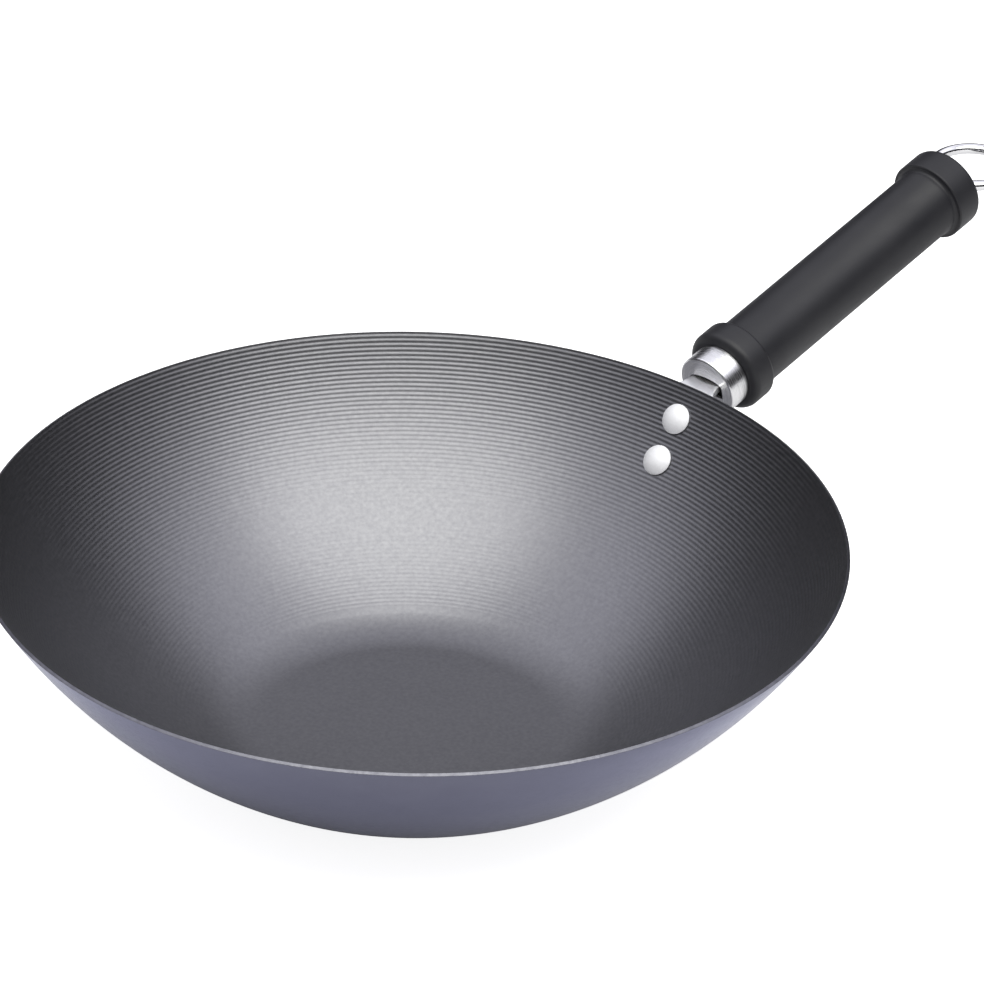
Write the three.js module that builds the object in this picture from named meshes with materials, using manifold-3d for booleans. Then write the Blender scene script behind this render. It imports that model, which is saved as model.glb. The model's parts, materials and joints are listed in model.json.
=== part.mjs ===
// A spun steel wok with one riveted handle: a strap bracket, a plated ferrule, a moulded grip drawn
// up by a long eye bolt, and a hanging ring in the bolt's eye.
// Millimetres and degrees, +Z up. The origin is the centre of the flat base's underside, and the
// handle runs out over +X.

import * as THREE from 'three';
import { mergeVertices } from 'three/addons/utils/BufferGeometryUtils.js';
import Module from 'manifold-3d';

// Clearance between pieces that touch on the real object
const FIT = 0.3;

// Bowl, spun from one sheet: a flat base, a knuckle bend and a wall that curves up to the rim
const RIM_RADIUS = 150;
const BOWL_HEIGHT = 79.4;
const BASE_RADIUS = 53.5;
const KNUCKLE_RADIUS = 38.4;
const KNUCKLE_TURN = 27.9;
const SHEET = 1.2;

// Handle axis: it passes below the rim's edge and climbs outward
const AXIS_DROP = 5.5;
const HANDLE_TILT = 12.75;

// Bracket, bent from a flat strap: a wide tab on the wall and a narrow tongue along the handle
const STRAP = 2.5;
const TAB_WIDTH = 16.2;
const TAB_END = 9;
const BEND_RADIUS = 10;
const TONGUE_WIDTH = 9.6;
const TONGUE_LIFT = 1.9;

// Rivets, measured down the wall from the rim
const RIVET_DROP = 13;
const RIVET_SPACING = 16.5;
const SHANK_RADIUS = 2.5;
const DOME_RADIUS = 5.6;
const DOME_HEIGHT = 2.6;
const DOME_EDGE = 0.4;
const PAN_RADIUS = 4.6;
const PAN_HEIGHT = 1.8;
const PAN_ROUND = 0.9;

// Ferrule: a cup pressed over the grip's nose, with an arched slot for the tongue in its face.
// FERRULE_START is measured along the handle axis from the rim's radius.
const FERRULE_START = 8.9;
const FERRULE_LENGTH = 9;
const FERRULE_WALL = 1.2;
const FERRULE_ROUND = 0.8;
const SLOT_BESIDE = 2.9;
const SLOT_BELOW = 1.85;

// Threaded socket: a round bar, lapped and welded under the tongue, drilled for the eye bolt.
// SOCKET_SETBACK is the space between it and the ferrule's floor.
const SOCKET_SETBACK = 3.5;
const SOCKET_WALL = 3.2;
const LAP_LENGTH = 6;
const LAP_SHOULDER = 1;
const THREAD_LENGTH = 8;
const SOCKET_PLAY = 0.8;

// Washers under the socket and under the eye bolt's flange
const WASHER = 1;
const WASHER_BAND = 3.2;

// Grip: a plain shaft between two collars, with a nose for the ferrule and a recess for the eye.
// NOSE_GAP is the space between the nose and the ferrule's floor.
const GRIP_LENGTH = 136;
const FRONT_COLLAR = 11;
const TAIL_COLLAR = 12.5;
const SHAFT_RADIUS = 13.5;
const COLLAR_STEP = 2.5;
const NOSE_WALL = 3.4;
const NOSE_GAP = 3.1;
const RECESS_PLAY = 0.5;
const FRONT_ROUND = 3;
const SHOULDER_ROUND = 1.6;
const TAIL_ROUND = 2.2;

// Eye bolt
const ROD_RADIUS = 3;
const TIP_GAP = 0.6;
const FLANGE_LIP = 1.6;
const FLANGE = 1.5;
const NECK_LENGTH = 2.3;
const EYE_WIRE_RADIUS = 1.5;
const EYE_PLAY = 0.6;

// Hanging ring, which droops a little and leans to one side in the eye
const RING_RADIUS = 15;
const RING_WIRE_RADIUS = 2.1;
const RING_FACE_GAP = 0.3;
const RING_DROOP = 10;
const RING_LEAN = 5;

// Facets
const BOWL_SIDES = 72;
const HANDLE_SIDES = 32;
const RIVET_SIDES = 24;
const WALL_STEPS = 8;
const KNUCKLE_STEPS = 4;
const ARC_STEP = 18;
const STRAP_STEP = 3;
const CURVE_STEPS = 8;
const RING_SIDES = 40;
const EYE_SIDES = 24;
const WIRE_SIDES = 10;

const wasm = await Module();
wasm.setup();

const radians = THREE.MathUtils.degToRad;

// Solids and cuts

function solid(geometry) {
  const bare = geometry.clone();
  bare.deleteAttribute('normal');
  bare.deleteAttribute('uv');
  const merged = mergeVertices(bare);
  const vertProperties = Float32Array.from(merged.attributes.position.array);
  const triVerts = Uint32Array.from(merged.index.array);
  return new wasm.Manifold(new wasm.Mesh({ numProp: 3, vertProperties, triVerts }));
}

function geometryOf(body) {
  const { vertProperties, triVerts } = body.getMesh();
  const geometry = new THREE.BufferGeometry();
  geometry.setAttribute('position', new THREE.BufferAttribute(vertProperties, 3));
  geometry.setIndex(new THREE.BufferAttribute(triVerts, 1));
  geometry.computeVertexNormals();
  return geometry;
}

// Profiles and outlines

function arcPoints(centre, radius, from, to) {
  const steps = Math.max(2, Math.ceil(Math.abs(to - from) / radians(ARC_STEP)));
  const points = [];
  for (let step = 0; step <= steps; step += 1) {
    const angle = from + (to - from) * step / steps;
    points.push(new THREE.Vector2(Math.cos(angle), Math.sin(angle)).multiplyScalar(radius).add(centre));
  }
  return points;
}

// A corner list as [across, along, fillet], with each fillet turned into an arc
function filleted(corners) {
  const points = [];
  corners.forEach(([across, along, fillet = 0], index) => {
    const corner = new THREE.Vector2(across, along);
    if (fillet === 0) {
      points.push(corner);
      return;
    }
    const before = corners[(index + corners.length - 1) % corners.length];
    const after = corners[(index + 1) % corners.length];
    const back = new THREE.Vector2(before[0], before[1]).sub(corner).normalize();
    const ahead = new THREE.Vector2(after[0], after[1]).sub(corner).normalize();
    const halfAngle = Math.acos(back.dot(ahead)) / 2;
    const bisector = back.clone().add(ahead).normalize();
    const centre = bisector.multiplyScalar(fillet / Math.sin(halfAngle)).add(corner);
    const entry = back.multiplyScalar(fillet / Math.tan(halfAngle)).add(corner).sub(centre);
    const exit = ahead.multiplyScalar(fillet / Math.tan(halfAngle)).add(corner).sub(centre);
    const sweep = Math.atan2(entry.cross(exit), entry.dot(exit));
    points.push(...arcPoints(centre, fillet, entry.angle(), entry.angle() + sweep));
  });
  return points;
}

// Turned about the handle axis: a profile as [radius, distance along the axis, fillet],
// either from axis to axis or closed on itself
function turned(corners) {
  const points = filleted(corners);
  const ring = corners.every(([radius]) => radius > 0);
  if (ring) {
    points.push(points[0].clone());
  }
  return new THREE.LatheGeometry(points, HANDLE_SIDES).rotateZ(-Math.PI / 2);
}

// Bowl shape, shared by the bowl, the bracket and the rivets

const knuckleTurn = radians(KNUCKLE_TURN);
const wallFoot = new THREE.Vector2(
  BASE_RADIUS + KNUCKLE_RADIUS * Math.sin(knuckleTurn),
  KNUCKLE_RADIUS * (1 - Math.cos(knuckleTurn)),
);
const wallChord = new THREE.Vector2(RIM_RADIUS, BOWL_HEIGHT).sub(wallFoot);
const rimSlope = 2 * wallChord.angle() - knuckleTurn;
const wallRadius = wallChord.length() / (2 * Math.sin((rimSlope - knuckleTurn) / 2));
const wallCentre = new THREE.Vector2(
  RIM_RADIUS - wallRadius * Math.sin(rimSlope),
  BOWL_HEIGHT + wallRadius * Math.cos(rimSlope),
);

// Outward normal of a surface that climbs at a slope, as [radial, up]
function outward(slope) {
  return new THREE.Vector2(Math.sin(slope), -Math.cos(slope));
}

// A point on the wall, or a distance outside it
function onWall(slope, outside = 0) {
  return outward(slope).multiplyScalar(wallRadius + outside).add(wallCentre);
}

function slopeBelowRim(drop) {
  return rimSlope - drop / wallRadius;
}

// One skin of the bowl, from the centre of its base out to the rim
function bowlSkin(inset) {
  const knuckleCentre = new THREE.Vector2(BASE_RADIUS, KNUCKLE_RADIUS);
  const points = [new THREE.Vector2(0, inset)];
  for (let step = 0; step < KNUCKLE_STEPS; step += 1) {
    const slope = knuckleTurn * step / KNUCKLE_STEPS;
    points.push(outward(slope).multiplyScalar(KNUCKLE_RADIUS - inset).add(knuckleCentre));
  }
  for (let step = 0; step <= WALL_STEPS; step += 1) {
    const slope = knuckleTurn + (rimSlope - knuckleTurn) * step / WALL_STEPS;
    points.push(onWall(slope, -inset));
  }
  return points;
}

// Stations along the handle axis, counted from the rim's radius

const tilt = radians(HANDLE_TILT);
const axisStart = new THREE.Vector2(RIM_RADIUS, BOWL_HEIGHT - AXIS_DROP);
const ferruleFloor = FERRULE_START + FERRULE_WALL;
const ferruleRear = FERRULE_START + FERRULE_LENGTH;
const noseFront = ferruleFloor + NOSE_GAP;
const gripFront = ferruleRear + FIT;
const gripTail = gripFront + GRIP_LENGTH;
const socketFront = ferruleFloor + SOCKET_SETBACK;
const lapEnd = socketFront + LAP_LENGTH;
const threadEnd = lapEnd + LAP_SHOULDER;
const socketRear = threadEnd + THREAD_LENGTH;
const socketFloor = socketRear + WASHER + 2 * FIT;
const ringPivot = gripTail + RING_WIRE_RADIUS + RING_FACE_GAP;
const eyeCentre = ringPivot - EYE_PLAY + FIT;
const eyeRadius = RING_WIRE_RADIUS + EYE_PLAY + EYE_WIRE_RADIUS;
const neckEnd = eyeCentre - eyeRadius;
const flangeRear = neckEnd - NECK_LENGTH;
const flangeFront = flangeRear - FLANGE;
const recessFloor = flangeFront - WASHER - 2 * FIT;

// Radii that follow from what goes inside

const rodBore = ROD_RADIUS + FIT;
const flangeRadius = ROD_RADIUS + FLANGE_LIP;
const tailWasherRadius = rodBore + WASHER_BAND;
const recessRadius = Math.max(tailWasherRadius, eyeRadius + EYE_WIRE_RADIUS) + RECESS_PLAY;
const tongueCorner = Math.hypot(TONGUE_LIFT + STRAP / 2, TONGUE_WIDTH / 2);
const socketRadius = rodBore + SOCKET_WALL;
const socketBore = Math.max(socketRadius, tongueCorner) + SOCKET_PLAY;
const seatWasherRadius = socketBore - FIT;
const noseRadius = socketBore + NOSE_WALL;
const ferruleInside = noseRadius + FIT;
const ferruleRadius = ferruleInside + FERRULE_WALL;
const collarRadius = SHAFT_RADIUS + COLLAR_STEP;

// Rivet places on the wall, upper first

const rivetSlopes = [slopeBelowRim(RIVET_DROP), slopeBelowRim(RIVET_DROP + RIVET_SPACING)];

// A drill through the wall at a rivet, along the wall's own normal
function rivetDrill(slope) {
  const reach = 4 * (SHEET + STRAP);
  const drill = new THREE.CylinderGeometry(SHANK_RADIUS + FIT, SHANK_RADIUS + FIT, reach, RIVET_SIDES);
  return placeOnWall(drill, slope, 0);
}

// Turns a shape made along +Y to point inward off the wall, and sets it a distance outside the wall
function placeOnWall(geometry, slope, outside) {
  const foot = onWall(slope, outside);
  const normal = outward(slope);
  const across = new THREE.Vector3(normal.y, 0, -normal.x);
  const inward = new THREE.Vector3(-normal.x, 0, -normal.y);
  const frame = new THREE.Matrix4().makeBasis(across, inward, across.clone().cross(inward));
  frame.setPosition(foot.x, 0, foot.y);
  return geometry.applyMatrix4(frame);
}

function makeBowl() {
  const profile = [...bowlSkin(0), ...bowlSkin(SHEET).reverse()];
  let body = solid(new THREE.LatheGeometry(profile, BOWL_SIDES).rotateX(Math.PI / 2));
  for (const slope of rivetSlopes) {
    body = body.subtract(solid(rivetDrill(slope)));
  }
  return geometryOf(body);
}

// A domed head inside the bowl, a shank through wall and strap, and a flat pan head outside
function makeRivet(slope) {
  const crown = DOME_HEIGHT - DOME_EDGE;
  const domeSphere = (DOME_RADIUS ** 2 + crown ** 2) / (2 * crown);
  const domeSeat = SHEET + FIT;
  const domeCentre = new THREE.Vector2(0, domeSeat + DOME_HEIGHT - domeSphere);
  const domeEdge = Math.acos(DOME_RADIUS / domeSphere);
  const panSeat = -(STRAP + 2 * FIT);
  const profile = [
    ...filleted([
      [0, panSeat - PAN_HEIGHT],
      [PAN_RADIUS, panSeat - PAN_HEIGHT, PAN_ROUND],
      [PAN_RADIUS, panSeat],
      [SHANK_RADIUS, panSeat],
      [SHANK_RADIUS, domeSeat],
      [DOME_RADIUS, domeSeat],
    ]),
    ...arcPoints(domeCentre, domeSphere, domeEdge, Math.PI / 2),
  ];
  return placeOnWall(new THREE.LatheGeometry(profile, RIVET_SIDES), slope, 0);
}

// Bracket

// Side outline of a strap that is bent through a list of runs from a starting point and heading.
// A run is a straight length, or a bend of a turn (left is positive) about a mid-line radius.
function strapOutline(start, heading, runs, thickness) {
  const left = [];
  const right = [];
  const place = start.clone();
  let angle = heading;
  const station = () => {
    const aside = new THREE.Vector2(-Math.sin(angle), Math.cos(angle)).multiplyScalar(thickness / 2);
    left.push(place.clone().add(aside));
    right.push(place.clone().sub(aside));
  };
  station();
  for (const { length, turn = 0 } of runs) {
    const steps = Math.max(1, Math.ceil(Math.abs(turn) / radians(STRAP_STEP)));
    const chord = turn === 0 ? length : 2 * length / turn * Math.sin(turn / (2 * steps)) * steps;
    for (let step = 0; step < steps; step += 1) {
      angle += turn / (2 * steps);
      place.add(new THREE.Vector2(Math.cos(angle), Math.sin(angle)).multiplyScalar(chord / steps));
      angle += turn / (2 * steps);
      station();
    }
  }
  return new THREE.Shape([...right, ...left.reverse()]);
}

function makeBracket() {
  const midline = FIT + STRAP / 2;

  // The bend is tangent to the wall's curve and to the tongue's line
  const rise = wallCentre.clone().sub(axisStart).dot(new THREE.Vector2(-Math.sin(tilt), Math.cos(tilt)));
  const reach = wallRadius + midline + BEND_RADIUS;
  const bendSlope = tilt + Math.acos((rise - TONGUE_LIFT + BEND_RADIUS) / reach);
  const tabSlope = slopeBelowRim(RIVET_DROP + RIVET_SPACING + TAB_END);
  const bendCentre = outward(bendSlope).multiplyScalar(reach).add(wallCentre);
  const along = new THREE.Vector2(Math.cos(tilt), Math.sin(tilt));
  const bendEnd = bendCentre.clone().sub(outward(tilt).multiplyScalar(BEND_RADIUS));
  const tongueLength = lapEnd - FIT - bendEnd.clone().sub(axisStart).dot(along);
  const side = strapOutline(onWall(tabSlope, midline), tabSlope, [
    { length: (bendSlope - tabSlope) * (wallRadius + midline), turn: bendSlope - tabSlope },
    { length: (bendSlope - tilt) * BEND_RADIUS, turn: tilt - bendSlope },
    { length: tongueLength },
  ], STRAP);
  const sheet = new THREE.ExtrudeGeometry(side, { depth: TAB_WIDTH, bevelEnabled: false });
  sheet.rotateX(Math.PI / 2).translate(0, TAB_WIDTH / 2, 0);

  // Seen square to the mean run of tab and tongue, the strap has a round end, and it narrows
  // between the rim and the ferrule
  const view = (tabSlope + tilt) / 2;
  const viewAxis = new THREE.Vector2(Math.cos(view), Math.sin(view));
  const alongView = (point) => point.clone().sub(axisStart).dot(viewAxis);
  const tabStart = alongView(onWall(tabSlope, midline));
  const taperStart = alongView(onWall(rimSlope, midline));
  const taperEnd = alongView(along.clone().multiplyScalar(FERRULE_START).add(axisStart));
  const far = taperEnd + 2 * tongueLength;
  const taperMiddle = (taperStart + taperEnd) / 2;
  const tabHalf = TAB_WIDTH / 2;
  const tongueHalf = TONGUE_WIDTH / 2;
  const plan = new THREE.Shape();
  plan.absarc(tabStart + tabHalf, 0, tabHalf, Math.PI / 2, 3 * Math.PI / 2);
  plan.lineTo(taperStart, -tabHalf);
  plan.bezierCurveTo(taperMiddle, -tabHalf, taperMiddle, -tongueHalf, taperEnd, -tongueHalf);
  plan.lineTo(far, -tongueHalf);
  plan.lineTo(far, tongueHalf);
  plan.lineTo(taperEnd, tongueHalf);
  plan.bezierCurveTo(taperMiddle, tongueHalf, taperMiddle, tabHalf, taperStart, tabHalf);
  const depth = 2 * (far - tabStart);
  const prism = new THREE.ExtrudeGeometry(plan, { depth, bevelEnabled: false, curveSegments: CURVE_STEPS });
  const frame = new THREE.Matrix4().makeBasis(
    new THREE.Vector3(viewAxis.x, 0, viewAxis.y),
    new THREE.Vector3(0, 1, 0),
    new THREE.Vector3(-viewAxis.y, 0, viewAxis.x),
  );
  frame.setPosition(axisStart.x, 0, axisStart.y);
  prism.translate(0, 0, -depth / 2).applyMatrix4(frame);

  let body = solid(sheet).intersect(solid(prism));
  for (const slope of rivetSlopes) {
    body = body.subtract(solid(rivetDrill(slope)));
  }
  return geometryOf(body);
}

// Handle pieces, made along +X with the handle axis on X and its underside to -Z

function makeFerrule() {
  const cup = turned([
    [0, FERRULE_START],
    [ferruleRadius, FERRULE_START, FERRULE_ROUND],
    [ferruleRadius, ferruleRear],
    [ferruleInside, ferruleRear],
    [ferruleInside, ferruleFloor],
    [0, ferruleFloor],
  ]);

  // The arch springs at the tongue's underside and clears its upper corners
  const halfWidth = TONGUE_WIDTH / 2 + SLOT_BESIDE;
  const spring = TONGUE_LIFT - STRAP / 2;
  const arch = (STRAP + FIT) / Math.sqrt(1 - (TONGUE_WIDTH / 2 / halfWidth) ** 2);
  const slot = new THREE.Shape();
  slot.moveTo(-halfWidth, spring - SLOT_BELOW);
  slot.lineTo(halfWidth, spring - SLOT_BELOW);
  slot.absellipse(0, spring, halfWidth, arch, 0, Math.PI);
  const depth = 4 * FERRULE_WALL;
  const cutter = new THREE.ExtrudeGeometry(slot, { depth, bevelEnabled: false, curveSegments: CURVE_STEPS });
  const frame = new THREE.Matrix4().makeBasis(
    new THREE.Vector3(0, 1, 0),
    new THREE.Vector3(0, 0, 1),
    new THREE.Vector3(1, 0, 0),
  );
  frame.setPosition(FERRULE_START - depth / 2, 0, 0);
  return geometryOf(solid(cup).subtract(solid(cutter.applyMatrix4(frame))));
}

function makeSocket() {
  const bar = turned([
    [0, socketFront],
    [socketRadius, socketFront],
    [socketRadius, socketRear],
    [rodBore, socketRear],
    [rodBore, threadEnd],
    [0, threadEnd],
  ]);
  const lapFloor = TONGUE_LIFT - STRAP / 2 - FIT;
  const lapCut = new THREE.BoxGeometry(2 * LAP_LENGTH, 4 * socketRadius, 4 * socketRadius);
  lapCut.translate(lapEnd - LAP_LENGTH, 0, lapFloor + 2 * socketRadius);
  return geometryOf(solid(bar).subtract(solid(lapCut)));
}

function makeWasher(outer, front) {
  return turned([
    [rodBore, front],
    [outer, front],
    [outer, front + WASHER],
    [rodBore, front + WASHER],
  ]);
}

function makeGrip() {
  const shaftStart = gripFront + FRONT_COLLAR;
  const shaftEnd = gripTail - TAIL_COLLAR;
  const shoulderRound = Math.min(SHOULDER_ROUND, COLLAR_STEP);
  return turned([
    [socketBore, noseFront],
    [noseRadius, noseFront],
    [noseRadius, gripFront],
    [collarRadius, gripFront, Math.min(FRONT_ROUND, collarRadius - noseRadius)],
    [collarRadius, shaftStart, shoulderRound],
    [SHAFT_RADIUS, shaftStart],
    [SHAFT_RADIUS, shaftEnd],
    [collarRadius, shaftEnd, shoulderRound],
    [collarRadius, gripTail, TAIL_ROUND],
    [recessRadius, gripTail],
    [recessRadius, recessFloor],
    [rodBore, recessFloor],
    [rodBore, socketFloor],
    [socketBore, socketFloor],
  ]);
}

function makeEyeBolt() {
  const stem = turned([
    [0, threadEnd + TIP_GAP],
    [ROD_RADIUS, threadEnd + TIP_GAP],
    [ROD_RADIUS, flangeFront],
    [flangeRadius, flangeFront],
    [flangeRadius, flangeRear],
    [EYE_WIRE_RADIUS, flangeRear],
    [EYE_WIRE_RADIUS, neckEnd],
    [0, neckEnd],
  ]);
  const eye = new THREE.TorusGeometry(eyeRadius, EYE_WIRE_RADIUS, WIRE_SIDES, EYE_SIDES);
  eye.rotateX(Math.PI / 2).translate(eyeCentre, 0, 0);
  return geometryOf(solid(stem).add(solid(eye)));
}

function makeRing() {
  return new THREE.TorusGeometry(RING_RADIUS, RING_WIRE_RADIUS, WIRE_SIDES, RING_SIDES);
}

// Finishes

function finish(color, metalness, roughness) {
  return () => new THREE.MeshStandardMaterial({ color, metalness, roughness });
}

const coatedSteel = finish(0x5b5b60, 0.5, 0.5);
const polishedRivet = finish(0xe4e4e2, 0.9, 0.3);
const plating = finish(0xd8d8da, 1, 0.15);
const plainSteel = finish(0x9a9a9c, 1, 0.4);
const blackMoulding = finish(0x2c2c30, 0, 0.55);

function part(name, geometry, material) {
  const mesh = new THREE.Mesh(geometry, material());
  mesh.name = name;
  return mesh;
}

// Assembly

const hinge = new THREE.Group();
hinge.position.set(ringPivot, 0, 0);
hinge.rotation.set(0, radians(RING_DROOP), radians(RING_LEAN));
const ring = part('hanging_ring', makeRing(), plating);
ring.position.set(RING_RADIUS, 0, 0);
hinge.add(ring);

const handle = new THREE.Group();
handle.position.set(axisStart.x, 0, axisStart.y);
handle.rotation.y = -tilt;
handle.add(
  part('ferrule', makeFerrule(), plating),
  part('threaded_socket', makeSocket(), plainSteel),
  part('seat_washer', makeWasher(seatWasherRadius, socketRear + FIT), plainSteel),
  part('grip', makeGrip(), blackMoulding),
  part('tail_washer', makeWasher(tailWasherRadius, recessFloor + FIT), plating),
  part('eye_bolt', makeEyeBolt(), plating),
  hinge,
);

const wok = new THREE.Group();
wok.name = 'wok';
wok.add(
  part('wok_bowl', makeBowl(), coatedSteel),
  part('rivet_upper', makeRivet(rivetSlopes[0]), polishedRivet),
  part('rivet_lower', makeRivet(rivetSlopes[1]), polishedRivet),
  part('handle_bracket', makeBracket(), plating),
  handle,
);

export default wok;
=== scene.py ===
"""A spun steel wok on a white table under one broad softbox.

Metres, +Z up. The origin is the centre of the bowl's flat base, and the handle runs out over +X.
"""

import json
import math

import bmesh
import bpy
from mathutils import Matrix, Vector


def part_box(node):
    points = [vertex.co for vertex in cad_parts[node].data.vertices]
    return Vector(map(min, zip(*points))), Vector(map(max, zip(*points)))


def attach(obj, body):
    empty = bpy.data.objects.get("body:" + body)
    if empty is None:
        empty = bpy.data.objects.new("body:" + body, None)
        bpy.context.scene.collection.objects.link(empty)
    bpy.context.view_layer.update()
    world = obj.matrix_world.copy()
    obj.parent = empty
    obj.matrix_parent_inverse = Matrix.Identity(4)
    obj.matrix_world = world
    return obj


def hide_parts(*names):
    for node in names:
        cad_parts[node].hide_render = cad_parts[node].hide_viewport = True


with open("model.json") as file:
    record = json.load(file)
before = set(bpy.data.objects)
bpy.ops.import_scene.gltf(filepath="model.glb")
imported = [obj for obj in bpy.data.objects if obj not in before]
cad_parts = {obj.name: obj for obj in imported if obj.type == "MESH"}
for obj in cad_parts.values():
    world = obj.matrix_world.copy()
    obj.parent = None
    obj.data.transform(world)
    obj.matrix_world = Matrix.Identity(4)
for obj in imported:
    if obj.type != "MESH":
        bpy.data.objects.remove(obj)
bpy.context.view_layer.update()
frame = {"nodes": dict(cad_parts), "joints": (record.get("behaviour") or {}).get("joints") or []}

MM = 0.001

# Gap between pieces that touch on the real wok
FIT = 0.3 * MM

# Bowl
RIM_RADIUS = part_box("wok_bowl")[1].x
BOWL_HEIGHT = 79.4 * MM
BASE_RADIUS = 53.5 * MM
KNUCKLE_RADIUS = 38.4 * MM
KNUCKLE_TURN = math.radians(27.9)
SHEET = 1.2 * MM
RIM_ROUND = 0.1 * MM

# Rings spun into the inner wall, measured down it from the rim, and shallower toward the base
RING_PITCH = 1.67 * MM
RING_DEPTH = 0.082 * MM
RING_DEPTH_LOW = 0.36
RINGS_FULL = 12 * MM
RINGS_SHALLOW = 75 * MM
RINGS_END = 107 * MM

# Rivets, measured down the wall from the rim
RIVET_DROPS = {"upper": 13 * MM, "lower": 29.5 * MM}
SHANK_RADIUS = 2.5 * MM
DOME_RADIUS = 5.6 * MM
DOME_HEIGHT = 2.6 * MM
DOME_EDGE = 0.4 * MM
PAN_RADIUS = 4.6 * MM
PAN_HEIGHT = 1.8 * MM
PAN_ROUND = 0.9 * MM

# Handle axis: it ends at the hanging ring's pivot, and stations along it count back from there
PIVOT = Vector(frame["joints"][0]["pos_m"])
HANDLE_TILT = math.radians(12.75)
GRIP_TAIL = -2.4 * MM
GRIP_LENGTH = 136 * MM
GRIP_FRONT = GRIP_TAIL - GRIP_LENGTH
FERRULE_LENGTH = 9 * MM
FERRULE_REAR = GRIP_FRONT - FIT
FERRULE_FRONT = FERRULE_REAR - FERRULE_LENGTH

# Bracket: the tip of its tab's round end keeps this least share of the width, squared
TAB_TIP = 0.002
TAB_WIDTH = 16.2 * MM
TAB_BELOW_RIVET = 9 * MM
STRAP = 2.5 * MM
STRAP_ROUND = 1.0 * MM
BEND_RADIUS = 10 * MM
TONGUE_WIDTH = 7.8 * MM
TONGUE_LIFT = 1.9 * MM
TONGUE_END = 10.4 * MM

# Ferrule
FERRULE_RADIUS = 12.2 * MM
FERRULE_WALL = 1.2 * MM
FERRULE_ROUND = 0.8 * MM
SLOT_HALF_WIDTH = 7.4 * MM
SLOT_BELOW = 2.6 * MM
SLOT_ARCH = 2.6 * MM

# Grip
SHAFT_RADIUS = 13.5 * MM
COLLAR_RADIUS = 16 * MM
FRONT_COLLAR = 11 * MM
TAIL_COLLAR = 12.5 * MM
NOSE_RADIUS = 10.7 * MM
NOSE_LENGTH = 5 * MM
SOCKET_BORE = 7.3 * MM
SOCKET_BORE_DEPTH = 12 * MM
ROD_BORE = 3.3 * MM
RECESS_RADIUS = 7 * MM
RECESS_DEPTH = 7.5 * MM
FRONT_ROUND = 3 * MM
SHOULDER_ROUND = 1.6 * MM
SHOULDER_ROOT = 0.9 * MM
TAIL_SHOULDER_ROUND = 0.7 * MM
TAIL_SHOULDER_ROOT = 1.5 * MM
TAIL_LAND = 3.2 * MM
TAIL_LAND_RISE = 0.15 * MM
TAIL_ROUND = 2.2 * MM
RECESS_EDGE = 0.6 * MM

# Eye bolt, whose tip stops short of the grip's front, and tail washer
BOLT_TIP = GRIP_FRONT + 3 * MM
ROD_RADIUS = 3 * MM
FLANGE_RADIUS = 4.6 * MM
FLANGE = 1.5 * MM
FLANGE_CHAMFER = FLANGE / 4
NECK_LENGTH = 2.3 * MM
EYE_WIRE_RADIUS = 1.5 * MM
EYE_RADIUS = 4.2 * MM
EYE_CENTRE = -0.3 * MM
WASHER = 1 * MM
WASHER_RADIUS = 6.5 * MM
WASHER_CHAMFER = WASHER / 5

# Hanging ring
RING_RADIUS = 15 * MM
RING_WIRE_RADIUS = 2.1 * MM
RING_DROOP = math.radians(10)
RING_LEAN = math.radians(5)

# Roundness of the meshes
BOWL_SIDES = 180
HANDLE_SIDES = 96
RIVET_SIDES = 64
WIRE_SIDES = 28
RING_POINTS = 6
WALL_STEPS = 36
DOME_STEPS = 12
TAB_STEPS = 40
BEND_STEPS = 16
STRAP_ROUND_STEPS = 5
ARC_STEP = math.radians(7.5)
MERGE_DISTANCE = 0.001 * MM
SHARP_ANGLE = math.radians(35)

# What makes an edge of the strap a corner, and a face of the bowl its rim
STRAP_CORNER = math.radians(50)
RIM_LEAN = 0.1

# The bowl's finishes, in the order of its materials
OUTSIDE = 1
CUT_EDGE = 2

# The range that most of a noise pattern lies in
NOISE_LOW = 0.3
NOISE_HIGH = 0.7

# Grain of the inner coat, full on the wall and weaker on the flat base
BASE_GRAIN = 0.35
BASE_GRAIN_TOP = 2 * SHEET
WALL_GRAIN_RISE = 4 * SHEET

# Camera, from the photograph's own perspective
IMAGE_PIXELS = 984
FOCAL_PIXELS = 4951
VIEW_AZIMUTH = math.radians(-48.2)
VIEW_ELEVATION = math.radians(30.4)
VIEW_DISTANCE = 1.7
VIEW_PAN = math.radians(0.90)
VIEW_TILT = math.radians(0.54)
VIEW_ROLL = math.radians(1.17)

# Softbox over the camera's side of the bowl
SOFTBOX_ELEVATION = math.radians(72)
SOFTBOX_DISTANCE = 1.1
SOFTBOX_SIDE = 0.13
SOFTBOX_WIDTH = 1.6
SOFTBOX_DEPTH = 1.14
SOFTBOX_POWER = 14.8
SOFTBOX_COLOUR = (1, 1, 0.94)

# The room that metal mirrors: dim up to a height, then white, and whitest to the left and right
ROOM_HORIZON = 0.02
ROOM_DIM_HEIGHT = 0.46
ROOM_WHITE_HEIGHT = 0.7
ROOM_WHITE = 1.1
ROOM_WHITE_NEAR = 0.66
ROOM_TURN = (-0.2, 0.5)
ROOM_SIDES = 2.3
ROOM_SIDES_TURN = (0.3, 0.8)
ROOM_TINT = (0.97, 0.97, 1.06, 1)

# The room's even light on dull surfaces
ROOM_LIGHT = 0.56

# White table, and how white the camera sees it
WHITE = (1, 1, 1, 1)
TABLE_SIZE = 4
TABLE_GAP = 0.1 * MM
TABLE_COLOUR = (0.8, 0.8, 0.8, 1)
TABLE_ROUGHNESS = 0.9
TABLE_SEEN = 0.85

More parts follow.
